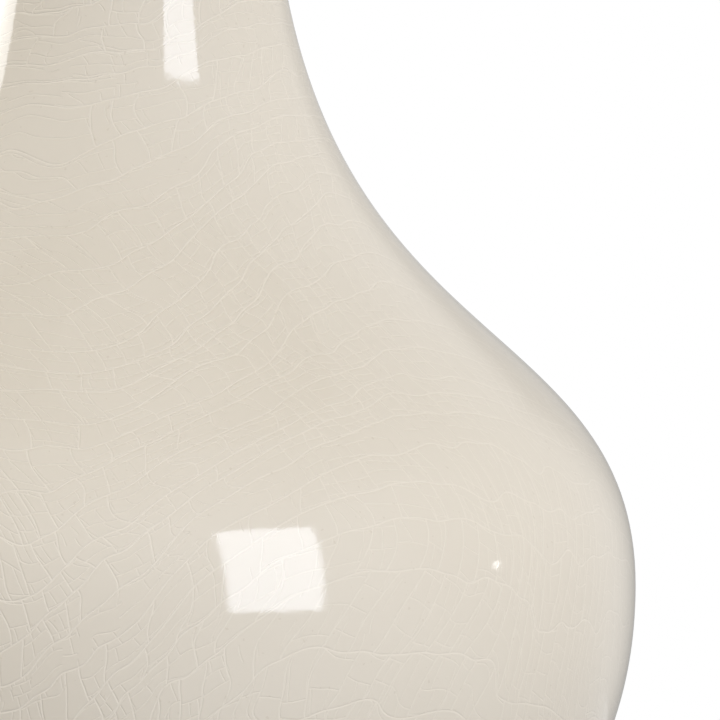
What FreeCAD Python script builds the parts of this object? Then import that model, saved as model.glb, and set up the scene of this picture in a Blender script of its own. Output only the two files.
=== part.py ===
"""A double gourd table lamp: a hollow crackle-glazed stoneware body clamped on its rod between a spun
brass plinth and a vase cap, with a switched lampholder, a lift-out harp, a hardback linen shade and a finial.

Millimetres, +Z up. The origin is on the table, on the lamp's own axis. The switch points to the front, -Y,
the cord outlet to the back, +Y, and the harp stands across, in the XZ plane.
"""

import FreeCAD, Part

import math
import os

Vector = FreeCAD.Vector

UP = Vector(0, 0, 1)
FRONT = Vector(0, -1, 0)
BACK = Vector(0, 1, 0)
ORIGIN = Vector(0, 0, 0)

# The share of its radius that a curve's handle has on a quarter circle
QUARTER_CIRCLE_HOLD = 0.5523

# Clearances between pieces
RUNNING_CLEARANCE = 0.08
LOOSE_CLEARANCE = 0.3
SLIP_CLEARANCE = 0.1

# Plinth, its felt, weight and cord outlet
FELT_THICKNESS = 2.0
FELT_INSET = 1.0
PLINTH_RADIUS = 79.0
PLINTH_BAND_HEIGHT = 13.0
PLINTH_OVOLO_WIDTH = 5.0
PLINTH_OVOLO_HEIGHT = 5.0
PLINTH_OVOLO_BOW = 1.4
PLINTH_STEP_WIDTH = 1.5
PLINTH_COVE_WIDTH = 3.0
PLINTH_COVE_HEIGHT = 6.0
PLINTH_COVE_BOW = 1.2
PLINTH_WALL = 2.0
WEIGHT_RADIUS = 66.0
WEIGHT_THICKNESS = 12.0
CORD_CHANNEL_WIDTH = 9.0
CORD_CHANNEL_DEPTH = 7.0
OUTLET_HEIGHT = 7.0
OUTLET_RADIUS = 5.0
OUTLET_FLANGE_RADIUS = 7.0
OUTLET_FLANGE_THICKNESS = 1.6
OUTLET_BORE_RADIUS = 3.4
OUTLET_INNER_LENGTH = 4.0

# Gourd body: radii and heights above its own foot, and how far each curve holds its upright direction
FOOT_GASKET_THICKNESS = 1.0
FOOT_GASKET_INSET = 1.5
FOOT_RADIUS = 62.0
FOOT_RING_HEIGHT = 3.0
FOOT_LIP = 2.0
FOOT_FLARE_WIDTH = 32.0
FOOT_FLARE_HEIGHT = 17.0
BELLY_RADIUS = 134.0
BELLY_HEIGHT = 108.0
BELLY_HOLD_BELOW = 58.0
BELLY_HOLD_ABOVE = 79.5
WAIST_RADIUS = 35.5
WAIST_RISE = 209.5
WAIST_HOLD_BELOW = 151.3
WAIST_HOLD_ABOVE = 42.0
CROWN_RADIUS = 76.0
CROWN_RISE = 86.0
CROWN_HOLD_BELOW = 41.0
CROWN_HOLD_ABOVE = 34.0
NECK_RADIUS = 22.0
NECK_RISE = 62.0
NECK_HOLD = 24.0
BODY_WALL = 6.0
FOOT_OPENING_RADIUS = 40.0
FOOT_FLOOR = 8.0
NECK_OPENING_RADIUS = 11.0
NECK_SHOULDER = 5.0

# Rod and its lower fixings
ROD_RADIUS = 4.9
ROD_BORE_RADIUS = 3.3
ROD_TAIL = 1.5
WASHER_RADIUS = 14.0
WASHER_THICKNESS = 1.5
NUT_ACROSS_FLATS = 16.0
NUT_THICKNESS = 5.0

# Vase cap and column
NECK_GASKET_THICKNESS = 1.0
CAP_WALL = 1.2
CAP_SKIRT = 6.0
CAP_BEAD_RADIUS = 1.3
CAP_STEP_BOW = 0.4
CAP_DOME_RISE = 7.0
CAP_TOP_RADIUS = 10.0
COLUMN_HEIGHT = 24.0
COLUMN_FOOT_RADIUS = 9.5
COLUMN_WAIST_RADIUS = 6.6
COLUMN_BEAD_RADIUS = 8.4
COLUMN_BEAD_HEIGHT = 4.0
COLUMN_BEAD_BOW = 1.3

# Saddle and its lock nut
SADDLE_THICKNESS = 2.2
SADDLE_WIDTH = 10.0
SADDLE_EYE_RADIUS = 9.5
SADDLE_TONGUE_THICKNESS = 1.8
SADDLE_HALF_SPAN = 30.0
SADDLE_BEND_RADIUS = 5.0
SADDLE_ARM_HEIGHT = 14.0
TONGUE_WIDTH = 5.0
TONGUE_HEIGHT = 12.0
LOCK_NUT_RADIUS = 8.0
LOCK_NUT_THICKNESS = 3.0
LOCK_NUT_NOTCHES = 16
LOCK_NUT_NOTCH_RADIUS = 0.7

# Lampholder
HOLDER_RADIUS = 17.0
HOLDER_SKIN = 0.7
HOLDER_HUB_RADIUS = 7.5
HOLDER_HUB_HEIGHT = 6.0
HOLDER_BOWL_HEIGHT = 9.0
HOLDER_LIP_HEIGHT = 6.0
HOLDER_LEDGE_WIDTH = 2.0
SHELL_HEIGHT = 44.0
SHELL_BEAD_RADIUS = 0.9
SHELL_BEADS = 2
SHELL_BEAD_SPACING = 5.0
INSULATOR_THICKNESS = 0.7
INSULATOR_SETBACK = 1.5
INSERT_HEIGHT = 20.0
INSERT_FLOOR = 2.0
SCREW_SHELL_RADIUS = 13.9
SCREW_SHELL_WALL = 0.4
SCREW_SHELL_HEIGHT = 22.0
CONTACT_RADIUS = 4.0
CONTACT_THICKNESS = 1.0
TERMINAL_SCREW_RADIUS = 2.4
TERMINAL_SCREW_THICKNESS = 1.2
TERMINAL_SHANK_RADIUS = 1.2
TERMINAL_SHANK_LENGTH = 3.0

# Rotary switch
SWITCH_HEIGHT = 10.5
SHAFT_RADIUS = 1.8
SHAFT_DEPTH = 7.0
SHAFT_HOLE_RADIUS = 3.2
KNOB_RADIUS = 5.6
KNOB_TIP_RADIUS = 4.8
KNOB_LENGTH = 15.0
KNOB_SOCKET_DEPTH = 9.0
KNOB_STANDOFF = 3.0
KNOB_FLUTES = 10
KNOB_FLUTE_RADIUS = 0.8
KNOB_COLLAR_LENGTH = 3.0
KNOB_TIP_ROUNDING = 1.6

# Bulb
BULB_RADIUS = 30.0
BULB_LENGTH = 108.0
BULB_GLASS_WALL = 1.0
BULB_CAP_RADIUS = 13.1
BULB_CAP_HEIGHT = 22.0
BULB_CAP_WALL = 0.5
BULB_INSULATOR_HEIGHT = 3.0
BULB_TIP_RADIUS = 4.5
BULB_TIP_THICKNESS = 1.6
BULB_TIP_BOW = 0.3

# Harp, its ferrules and its seat
HARP_WIRE_RADIUS = 2.0
HARP_FLAT_DEPTH = 0.6
HARP_LEG = 36.0
HARP_FLARE_RISE = 40.0
HARP_HALF_WIDTH = 56.0
HARP_SIDE = 76.0
HARP_HEIGHT = 226.0
HARP_TOP_HALF_WIDTH = 9.0
HARP_BEND_RADIUS = 26.0
HARP_TOP_BEND_RADIUS = 30.0
HARP_CROWN_BEND_RADIUS = 9.0
FERRULE_WALL = 1.0
FERRULE_LENGTH = 13.0
FERRULE_CHAMFER = 0.3
HARP_SEAT_RADIUS = 8.5
HARP_SEAT_THICKNESS = 3.0
HARP_GRIP_RADIUS = 4.5
HARP_STUD_RADIUS = 3.1
HARP_STUD_HEIGHT = 14.0

# Shade
SHADE_TOP_RADIUS = 180.0
SHADE_BOTTOM_RADIUS = 210.0
SHADE_HEIGHT = 280.0
SHADE_DROP = 16.0
LINER_THICKNESS = 0.8
LINEN_THICKNESS = 0.8
TRIM_THICKNESS = 0.7
TRIM_WIDTH = 12.0
TRIM_FOLD = 7.0
RING_WIRE_RADIUS = 1.6
SPIDER_ARMS = 3
SPIDER_ARM_RADIUS = 1.5
SPIDER_HUB_RADIUS = 9.0
SPIDER_HUB_THICKNESS = 2.0
SPIDER_BEND_RADIUS = 12.0
SPIDER_RISE_WIDTH = 22.0

# Finial
FINIAL_FOOT_RADIUS = 7.0
FINIAL_FOOT_HEIGHT = 4.0
FINIAL_NECK_RADIUS = 4.2
FINIAL_NECK_HEIGHT = 4.0
FINIAL_COLLAR_RADIUS = 6.2
FINIAL_COLLAR_HEIGHT = 2.4
FINIAL_COLLAR_BOW = 1.1
FINIAL_BALL_RADIUS = 10.0
FINIAL_TIP_RADIUS = 2.4
FINIAL_TIP_HEIGHT = 4.0
FINIAL_HOLE_SPARE = 1.5

# Heights of the stack above the table
PLINTH_HEIGHT = PLINTH_BAND_HEIGHT + PLINTH_OVOLO_HEIGHT + PLINTH_COVE_HEIGHT
PLINTH_TOP = FELT_THICKNESS + PLINTH_HEIGHT
PLINTH_TOP_RADIUS = PLINTH_RADIUS - PLINTH_OVOLO_WIDTH - PLINTH_STEP_WIDTH - PLINTH_COVE_WIDTH
WEIGHT_TOP = PLINTH_TOP - PLINTH_WALL
WEIGHT_BOTTOM = WEIGHT_TOP - WEIGHT_THICKNESS
WASHER_BOTTOM = WEIGHT_BOTTOM - WASHER_THICKNESS
NUT_BOTTOM = WASHER_BOTTOM - NUT_THICKNESS
ROD_BOTTOM = NUT_BOTTOM - ROD_TAIL
OUTLET_LEVEL = FELT_THICKNESS + OUTLET_HEIGHT
BODY_FOOT = PLINTH_TOP + FOOT_GASKET_THICKNESS
BELLY_LEVEL = BODY_FOOT + BELLY_HEIGHT
WAIST_LEVEL = BELLY_LEVEL + WAIST_RISE
CROWN_LEVEL = WAIST_LEVEL + CROWN_RISE
BODY_TOP = CROWN_LEVEL + NECK_RISE
CAP_SEAT = BODY_TOP + NECK_GASKET_THICKNESS
CAP_SKIRT_BOTTOM = CAP_SEAT - CAP_SKIRT
NECK_COLLAR_FOOT = CAP_SKIRT_BOTTOM - LOOSE_CLEARANCE
CAP_TOP = CAP_SEAT + CAP_WALL + CAP_DOME_RISE
COLUMN_TOP = CAP_TOP + COLUMN_HEIGHT
SADDLE_TOP = COLUMN_TOP + SADDLE_THICKNESS
HOLDER_BOTTOM = SADDLE_TOP + LOCK_NUT_THICKNESS
HOLDER_LIP = HOLDER_BOTTOM + HOLDER_HUB_HEIGHT + HOLDER_BOWL_HEIGHT
HOLDER_LIP_TOP = HOLDER_LIP + HOLDER_LIP_HEIGHT
SHELL_BOTTOM = HOLDER_LIP
SHELL_TOP = SHELL_BOTTOM + SHELL_HEIGHT
ROD_TOP = HOLDER_BOTTOM + HOLDER_HUB_HEIGHT
SHELL_RADIUS = HOLDER_RADIUS - HOLDER_SKIN - SLIP_CLEARANCE
INSULATOR_RADIUS = SHELL_RADIUS - HOLDER_SKIN - SLIP_CLEARANCE
INSERT_RADIUS = INSULATOR_RADIUS - INSULATOR_THICKNESS - SLIP_CLEARANCE
INSERT_BOTTOM = SHELL_BOTTOM
INSERT_TOP = INSERT_BOTTOM + INSERT_HEIGHT
SWITCH_LEVEL = INSERT_BOTTOM + SWITCH_HEIGHT
CONTACT_TOP = INSERT_TOP + CONTACT_THICKNESS
BULB_BOTTOM = CONTACT_TOP + SLIP_CLEARANCE
BULB_NECK_RADIUS = BULB_CAP_RADIUS - BULB_CAP_WALL
TONGUE_SHOULDER = COLUMN_TOP + SADDLE_ARM_HEIGHT
TONGUE_TOP = TONGUE_SHOULDER + TONGUE_HEIGHT
TONGUE_INNER = SADDLE_HALF_SPAN - SADDLE_TONGUE_THICKNESS
HARP_LEG_X = SADDLE_HALF_SPAN + HARP_WIRE_RADIUS - HARP_FLAT_DEPTH
HARP_FOOT = TONGUE_SHOULDER
HARP_TOP = HARP_FOOT + HARP_HEIGHT
FERRULE_X = (TONGUE_INNER + HARP_LEG_X + HARP_WIRE_RADIUS) / 2
FERRULE_BORE = math.hypot(FERRULE_X - TONGUE_INNER, TONGUE_WIDTH / 2) + SLIP_CLEARANCE
SEAT_TOP = HARP_TOP + HARP_WIRE_RADIUS + HARP_SEAT_THICKNESS
SHADE_TOP = SEAT_TOP + SHADE_DROP
SHADE_BOTTOM = SHADE_TOP - SHADE_HEIGHT


class Outline:
    """A closed outline in the radius-height plane, drawn edge by edge and turned about an axis."""

    def __init__(self, radius, height):
        self.start = Vector(radius, 0, height)
        self.at = self.start
        self.edges = []

    def line(self, radius, height):
        end = Vector(radius, 0, height)
        self.edges.append(Part.LineSegment(self.at, end).toShape())
        self.at = end
        return self

    def arc(self, radius, height, sagitta):
        """An arc that stands out to the left of its chord by the sagitta, or to the right if it is negative."""
        end = Vector(radius, 0, height)
        chord = end - self.at
        left = Vector(-chord.z, 0, chord.x).normalize()
        middle = (self.at + end) * 0.5 + left * sagitta
        self.edges.append(Part.Arc(self.at, middle, end).toShape())
        self.at = end
        return self

    def curve(self, first_handle, second_handle, radius, height):
        """A smooth curve that leaves along the first handle and arrives along the second."""
        end = Vector(radius, 0, height)
        curve = Part.BezierCurve()
        curve.setPoles([self.at, Vector(first_handle[0], 0, first_handle[1]),
                        Vector(second_handle[0], 0, second_handle[1]), end])
        self.edges.append(curve.toShape())
        self.at = end
        return self

    def turned(self):
        """The solid that the closed outline sweeps out about the Z axis."""
        if not self.at.isEqual(self.start, 1e-7):
            self.line(self.start.x, self.start.z)
        return Part.Face(Part.Wire(self.edges)).revolve(ORIGIN, UP, 360)


def ring(inner, outer, bottom, top):
    """A flat ring or a straight tube on the lamp's axis."""
    outside = Part.makeCylinder(outer, top - bottom, Vector(0, 0, bottom))
    return outside.cut(Part.makeCylinder(inner, top - bottom, Vector(0, 0, bottom)))


def rounded_path(points, radii):
    """A wire of straight runs through the points, with a tangent arc of its radius at each inner point."""
    edges = []
    at = points[0]
    for before, corner, after, radius in zip(points, points[1:], points[2:], radii):
        arriving = (corner - before).normalize()
        leaving = (after - corner).normalize()
        turn = arriving.getAngle(leaving)
        setback = radius * math.tan(turn / 2)
        first = corner - arriving * setback
        last = corner + leaving * setback
        inward = (leaving - arriving).normalize()
        middle = corner + inward * (radius / math.cos(turn / 2) - radius)
        edges.append(Part.LineSegment(at, first).toShape())
        edges.append(Part.Arc(first, middle, last).toShape())
        at = last
    edges.append(Part.LineSegment(at, points[-1]).toShape())
    return Part.Wire(edges)


def wire_rod(path, radius):
    """A round rod of that radius bent along a path."""
    start = path.OrderedEdges[0]
    direction = start.tangentAt(start.FirstParameter)
    circle = Part.Circle(path.OrderedVertexes[0].Point, direction, radius)
    section = Part.Wire(circle.toShape())
    return path.makePipeShell([section], True, True)


def repeated(shape, count):
    """Copies of a shape spaced evenly about the lamp's axis."""
    return [shape.rotated(ORIGIN, UP, 360 * turn / count) for turn in range(count)]


# Plinth


def base_felt():
    return Part.makeCylinder(PLINTH_RADIUS - FELT_INSET, FELT_THICKNESS)


def plinth_outline(inset):
    """The plinth's moulded outside, or its hollow when it is set in by the wall."""
    band_top = FELT_THICKNESS + PLINTH_BAND_HEIGHT
    ovolo_top = band_top + PLINTH_OVOLO_HEIGHT
    band = PLINTH_RADIUS - inset
    ledge = band - PLINTH_OVOLO_WIDTH
    cove_foot = ledge - PLINTH_STEP_WIDTH
    outline = Outline(0, FELT_THICKNESS).line(band, FELT_THICKNESS).line(band, band_top - inset)
    outline.arc(ledge, ovolo_top - inset, -PLINTH_OVOLO_BOW).line(cove_foot, ovolo_top - inset)
    outline.arc(PLINTH_TOP_RADIUS - inset, PLINTH_TOP - inset, PLINTH_COVE_BOW)
    return outline.line(0, PLINTH_TOP - inset)


def base_plinth():
    hollow = plinth_outline(PLINTH_WALL).turned()
    rod_hole = Part.makeCylinder(ROD_RADIUS + SLIP_CLEARANCE, PLINTH_HEIGHT, Vector(0, 0, FELT_THICKNESS))
    outlet = Part.makeCylinder(OUTLET_RADIUS + SLIP_CLEARANCE, PLINTH_RADIUS, Vector(0, 0, OUTLET_LEVEL), BACK)
    return plinth_outline(0).turned().cut([hollow, rod_hole, outlet])


def base_weight():
    """The cast ballast, with a channel in its underside for the cord."""
    disc = ring(ROD_RADIUS + SLIP_CLEARANCE, WEIGHT_RADIUS, WEIGHT_BOTTOM, WEIGHT_TOP)
    corner = Vector(-CORD_CHANNEL_WIDTH / 2, WASHER_RADIUS, WEIGHT_BOTTOM)
    channel = Part.makeBox(CORD_CHANNEL_WIDTH, WEIGHT_RADIUS, CORD_CHANNEL_DEPTH, corner)
    return disc.cut(channel)


def cord_bushing():
    """The flanged grommet in the plinth's wall, cut to the wall's curve outside and inside."""
    wall_inner = PLINTH_RADIUS - PLINTH_WALL
    start = Vector(0, wall_inner - OUTLET_INNER_LENGTH, OUTLET_LEVEL)
    reach = OUTLET_INNER_LENGTH + PLINTH_WALL + OUTLET_FLANGE_THICKNESS
    barrel = Part.makeCylinder(OUTLET_RADIUS, reach, start, BACK)
    flange = Part.makeCylinder(OUTLET_FLANGE_RADIUS, PLINTH_WALL + OUTLET_FLANGE_THICKNESS,
                               Vector(0, wall_inner, OUTLET_LEVEL), BACK)
    plinth_round = Part.makeCylinder(PLINTH_RADIUS, PLINTH_HEIGHT, Vector(0, 0, FELT_THICKNESS))
    rounded_edge = [edge for edge in flange.Edges if edge.BoundBox.YMin > PLINTH_RADIUS]
    flange = flange.makeFillet(OUTLET_FLANGE_THICKNESS / 2, rounded_edge).cut(plinth_round)
    bore = Part.makeCylinder(OUTLET_BORE_RADIUS, reach, start, BACK)
    return barrel.fuse(flange).cut(bore).removeSplitter()


# Gourd body


def gourd_side(outline, inset):
    """Adds the double curve from the foot to the neck, set in by the wall for the inside."""
    belly = BELLY_RADIUS - inset
    waist = WAIST_RADIUS - inset
    crown = CROWN_RADIUS - inset
    neck = NECK_RADIUS - inset
    foot_curve = outline.at
    outline.curve((foot_curve.x + FOOT_FLARE_WIDTH, foot_curve.z + FOOT_FLARE_HEIGHT),
                  (belly, BELLY_LEVEL - BELLY_HOLD_BELOW), belly, BELLY_LEVEL)
    outline.curve((belly, BELLY_LEVEL + BELLY_HOLD_ABOVE),
                  (waist, WAIST_LEVEL - WAIST_HOLD_BELOW), waist, WAIST_LEVEL)
    outline.curve((waist, WAIST_LEVEL + WAIST_HOLD_ABOVE),
                  (crown, CROWN_LEVEL - CROWN_HOLD_BELOW), crown, CROWN_LEVEL)
    shoulder = NECK_COLLAR_FOOT - (NECK_SHOULDER if inset else 0)
    outline.curve((crown, CROWN_LEVEL + CROWN_HOLD_ABOVE), (neck, shoulder - NECK_HOLD), neck, shoulder)
    return outline


def gourd_body():
    """The slip-cast shell, with a foot ring and floor below and a turned-in collar at the neck."""
    outside = Outline(FOOT_OPENING_RADIUS, BODY_FOOT).line(FOOT_RADIUS, BODY_FOOT)
    outside.line(FOOT_RADIUS, BODY_FOOT + FOOT_RING_HEIGHT)
    outside.line(FOOT_RADIUS + FOOT_LIP, BODY_FOOT + FOOT_RING_HEIGHT)
    gourd_side(outside, 0).line(NECK_RADIUS, BODY_TOP).line(NECK_OPENING_RADIUS, BODY_TOP)
    outside.line(NECK_OPENING_RADIUS, BODY_FOOT).line(FOOT_OPENING_RADIUS, BODY_FOOT)
    inside = Outline(NECK_OPENING_RADIUS, BODY_FOOT + FOOT_FLOOR)
    inside.line(FOOT_RADIUS + FOOT_LIP - BODY_WALL, BODY_FOOT + FOOT_FLOOR)
    gourd_side(inside, BODY_WALL).line(NECK_OPENING_RADIUS, NECK_COLLAR_FOOT - NECK_SHOULDER)
    floor_hole = Part.makeCylinder(FOOT_OPENING_RADIUS, FOOT_FLOOR, Vector(0, 0, BODY_FOOT))
    return outside.turned().cut([inside.turned(), floor_hole])


def foot_gasket():
    return ring(FOOT_OPENING_RADIUS + FOOT_GASKET_INSET, FOOT_RADIUS - FOOT_GASKET_INSET, PLINTH_TOP, BODY_FOOT)


# Rod and its fixings


def lamp_rod():
    return ring(ROD_BORE_RADIUS, ROD_RADIUS, ROD_BOTTOM, ROD_TOP)


def rod_washer():
    return ring(ROD_RADIUS + SLIP_CLEARANCE, WASHER_RADIUS, WASHER_BOTTOM, WEIGHT_BOTTOM)


def rod_nut():
    """A hexagonal nut, its upper and lower corners turned off."""
    corner_radius = NUT_ACROSS_FLATS / math.sqrt(3)
    corners = [Vector(corner_radius * math.cos(math.radians(60 * n)), corner_radius * math.sin(math.radians(60 * n)),
                      NUT_BOTTOM) for n in range(7)]
    prism = Part.Face(Part.makePolygon(corners)).extrude(Vector(0, 0, NUT_THICKNESS))
    chamfer = corner_radius - NUT_ACROSS_FLATS / 2
    middle = NUT_BOTTOM + NUT_THICKNESS / 2
    top = NUT_BOTTOM + NUT_THICKNESS
    barrel = Outline(0, NUT_BOTTOM).line(corner_radius - chamfer, NUT_BOTTOM)
    barrel.line(corner_radius, NUT_BOTTOM + chamfer / 2).line(corner_radius, middle)
    barrel.line(corner_radius, top - chamfer / 2).line(corner_radius - chamfer, top).line(0, top)
    hole = Part.makeCylinder(ROD_RADIUS, NUT_THICKNESS, Vector(0, 0, NUT_BOTTOM))
    return prism.common(barrel.turned()).cut(hole)


# Vase cap and column


def neck_gasket():
    return ring(ROD_RADIUS + SLIP_CLEARANCE, NECK_RADIUS - SLIP_CLEARANCE, BODY_TOP, CAP_SEAT)


def vase_cap():
    """The spun cap over the neck: a skirt with a rolled bead, a flat seat and a dome up to the column."""
    bore = ROD_RADIUS + SLIP_CLEARANCE
    inner = NECK_RADIUS + LOOSE_CLEARANCE
    outer = inner + CAP_WALL
    step_top = CAP_SEAT + CAP_WALL
    dome = Outline(bore, CAP_SEAT).line(inner, CAP_SEAT).line(inner, CAP_SKIRT_BOTTOM).line(outer, CAP_SKIRT_BOTTOM)
    dome.line(outer, CAP_SEAT).arc(outer - CAP_WALL, step_top, -CAP_STEP_BOW)
    dome.line(outer - 2 * CAP_WALL, step_top)
    dome.curve((outer - 3 * CAP_WALL, step_top + CAP_DOME_RISE), (CAP_TOP_RADIUS + CAP_WALL, CAP_TOP),
               CAP_TOP_RADIUS, CAP_TOP)
    dome.line(bore, CAP_TOP)
    bead = Part.makeTorus(outer, CAP_BEAD_RADIUS, Vector(0, 0, CAP_SKIRT_BOTTOM + CAP_BEAD_RADIUS))
    inside = Part.makeCylinder(inner, CAP_SKIRT, Vector(0, 0, CAP_SKIRT_BOTTOM))
    return dome.turned().fuse(bead.cut(inside))


def neck_column():
    """A turned brass column with a foot bead, a hollowed waist and a top bead."""
    bore = ROD_RADIUS + SLIP_CLEARANCE
    foot_top = CAP_TOP + COLUMN_BEAD_HEIGHT
    bead_bottom = COLUMN_TOP - COLUMN_BEAD_HEIGHT
    third = (bead_bottom - foot_top) / 3
    bow = COLUMN_BEAD_BOW
    outline = Outline(bore, CAP_TOP).line(COLUMN_FOOT_RADIUS - bow, CAP_TOP)
    outline.arc(COLUMN_FOOT_RADIUS - bow, foot_top, -bow)
    outline.curve((COLUMN_WAIST_RADIUS, foot_top), (COLUMN_WAIST_RADIUS, foot_top + third),
                  COLUMN_WAIST_RADIUS, foot_top + 2 * third)
    outline.line(COLUMN_WAIST_RADIUS, bead_bottom).line(COLUMN_BEAD_RADIUS - bow, bead_bottom)
    outline.arc(COLUMN_BEAD_RADIUS - bow, COLUMN_TOP, -bow).line(bore, COLUMN_TOP)
    return outline.turned()


# Saddle and lock nut


def harp_saddle():
    """The bent strip that carries the harp: an eye on the rod, two upright arms and a tongue on each."""
    half = SADDLE_HALF_SPAN
    inner = half - SADDLE_THICKNESS
    outer_path = rounded_path([Vector(-half, 0, TONGUE_SHOULDER), Vector(-half, 0, COLUMN_TOP),
                               Vector(half, 0, COLUMN_TOP), Vector(half, 0, TONGUE_SHOULDER)],
                              [SADDLE_BEND_RADIUS, SADDLE_BEND_RADIUS])
    inner_bend = SADDLE_BEND_RADIUS - SADDLE_THICKNESS
    inner_path = rounded_path([Vector(inner, 0, TONGUE_SHOULDER), Vector(inner, 0, SADDLE_TOP),
                               Vector(-inner, 0, SADDLE_TOP), Vector(-inner, 0, TONGUE_SHOULDER)],
                              [inner_bend, inner_bend])
    ends = [Part.LineSegment(Vector(side * half, 0, TONGUE_SHOULDER),
                             Vector(side * inner, 0, TONGUE_SHOULDER)).toShape() for side in (-1, 1)]
    edges = Part.sortEdges(outer_path.Edges + inner_path.Edges + ends)[0]
    strip = Part.Face(Part.Wire(edges)).extrude(Vector(0, SADDLE_WIDTH, 0))
    strip.translate(Vector(0, -SADDLE_WIDTH / 2, 0))
    tongues = [Part.makeBox(SADDLE_TONGUE_THICKNESS, TONGUE_WIDTH, TONGUE_HEIGHT,
                            Vector(corner, -TONGUE_WIDTH / 2, TONGUE_SHOULDER))
               for corner in (TONGUE_INNER, -SADDLE_HALF_SPAN)]
    eye = ring(ROD_RADIUS + SLIP_CLEARANCE, SADDLE_EYE_RADIUS, COLUMN_TOP, SADDLE_TOP)
    hole = Part.makeCylinder(ROD_RADIUS + SLIP_CLEARANCE, SADDLE_THICKNESS, Vector(0, 0, COLUMN_TOP))
    return strip.cut(hole).fuse(tongues + [eye]).removeSplitter()


def saddle_nut():
    """The ring nut that locks the saddle, knurled round its edge."""
    body = ring(ROD_RADIUS, LOCK_NUT_RADIUS, SADDLE_TOP, HOLDER_BOTTOM)
    notch = Part.makeCylinder(LOCK_NUT_NOTCH_RADIUS, LOCK_NUT_THICKNESS, Vector(LOCK_NUT_RADIUS, 0, SADDLE_TOP))
    return body.cut(repeated(notch, LOCK_NUT_NOTCHES))


# Lampholder


def socket_cap():
    """The lower half of the lampholder's case: a hub on the rod, a bowl, and a lip with a ledge inside it."""
    hub_top = HOLDER_BOTTOM + HOLDER_HUB_HEIGHT
    outline = Outline(ROD_RADIUS, HOLDER_BOTTOM).line(HOLDER_HUB_RADIUS, HOLDER_BOTTOM).line(HOLDER_HUB_RADIUS, hub_top)
    outline.curve((HOLDER_HUB_RADIUS + HOLDER_BOWL_HEIGHT / 2, hub_top), (HOLDER_RADIUS, hub_top + HOLDER_SKIN),
                  HOLDER_RADIUS, HOLDER_LIP)
    outline.line(HOLDER_RADIUS, HOLDER_LIP_TOP).line(HOLDER_RADIUS - HOLDER_SKIN, HOLDER_LIP_TOP)
    outline.line(HOLDER_RADIUS - HOLDER_SKIN, HOLDER_LIP)
    outline.line(INSERT_RADIUS - HOLDER_LEDGE_WIDTH, HOLDER_LIP)
    outline.line(INSERT_RADIUS - HOLDER_LEDGE_WIDTH, HOLDER_LIP - HOLDER_SKIN)
    outline.line(HOLDER_RADIUS - HOLDER_SKIN, HOLDER_LIP - HOLDER_SKIN)
    outline.curve((HOLDER_RADIUS - HOLDER_SKIN, hub_top + 2 * HOLDER_SKIN),
                  (HOLDER_HUB_RADIUS + HOLDER_BOWL_HEIGHT / 2, hub_top + HOLDER_SKIN),
                  HOLDER_HUB_RADIUS, hub_top + HOLDER_SKIN)
    return outline.line(ROD_RADIUS, hub_top + HOLDER_SKIN).turned()


def socket_shell():
    """The upper half of the case: a thin tube with rolled beads and the hole that the switch shaft leaves by."""
    tube = ring(SHELL_RADIUS - HOLDER_SKIN, SHELL_RADIUS, SHELL_BOTTOM, SHELL_TOP)
    core = Part.makeCylinder(SHELL_RADIUS - HOLDER_SKIN, SHELL_HEIGHT, Vector(0, 0, SHELL_BOTTOM))
    first_bead = SHELL_TOP - SHELL_BEAD_RADIUS
    beads = [Part.makeTorus(SHELL_RADIUS - HOLDER_SKIN / 2, SHELL_BEAD_RADIUS,
                            Vector(0, 0, first_bead - n * SHELL_BEAD_SPACING)).cut(core)
             for n in range(SHELL_BEADS)]
    hole = Part.makeCylinder(SHAFT_HOLE_RADIUS, HOLDER_RADIUS, Vector(0, 0, SWITCH_LEVEL), FRONT)
    return tube.fuse(beads).cut(hole)


def socket_insulator():
    """The fibre sleeve between the case and the live insert."""
    top = SHELL_TOP - INSULATOR_SETBACK
    sleeve = ring(INSULATOR_RADIUS - INSULATOR_THICKNESS, INSULATOR_RADIUS, SHELL_BOTTOM, top)
    hole = Part.makeCylinder(SHAFT_HOLE_RADIUS, HOLDER_RADIUS, Vector(0, 0, SWITCH_LEVEL), FRONT)
    return sleeve.cut(hole)


def terminal_positions():
    """The two terminals, left and right on the insert, as (outward direction, face point)."""
    flat = INSERT_RADIUS - TERMINAL_SCREW_THICKNESS
    return [(Vector(side, 0, 0), Vector(side * flat, 0, SWITCH_LEVEL)) for side in (-1, 1)]


def socket_body():
    """The moulded insert that holds the switch, with a flat and a screw hole for each terminal."""
    block = Part.makeCylinder(INSERT_RADIUS, INSERT_HEIGHT, Vector(0, 0, INSERT_BOTTOM))
    shaft = Part.makeCylinder(SHAFT_RADIUS + RUNNING_CLEARANCE, HOLDER_RADIUS,
                              Vector(0, SHAFT_DEPTH - INSERT_RADIUS, SWITCH_LEVEL), FRONT)
    cuts = [shaft]
    for outward, face in terminal_positions():
        flat = Part.makeBox(2 * INSERT_RADIUS, 2 * INSERT_RADIUS, INSERT_HEIGHT - INSERT_FLOOR,
                            Vector(-INSERT_RADIUS, -INSERT_RADIUS, INSERT_BOTTOM))
        flat.translate(outward * (INSERT_RADIUS + abs(face.x)))
        screw_hole = Part.makeCylinder(TERMINAL_SHANK_RADIUS, TERMINAL_SHANK_LENGTH, face, outward * -1)
        cuts += [flat, screw_hole]
    return block.cut(cuts)


def terminal_screws():
    screws = []
    for outward, face in terminal_positions():
        head = Part.makeCylinder(TERMINAL_SCREW_RADIUS, TERMINAL_SCREW_THICKNESS / 2, face, outward)
        shank = Part.makeCylinder(TERMINAL_SHANK_RADIUS, TERMINAL_SHANK_LENGTH, face, outward * -1)
        screws.append(head.fuse(shank))
    return Part.makeCompound(screws)


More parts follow.
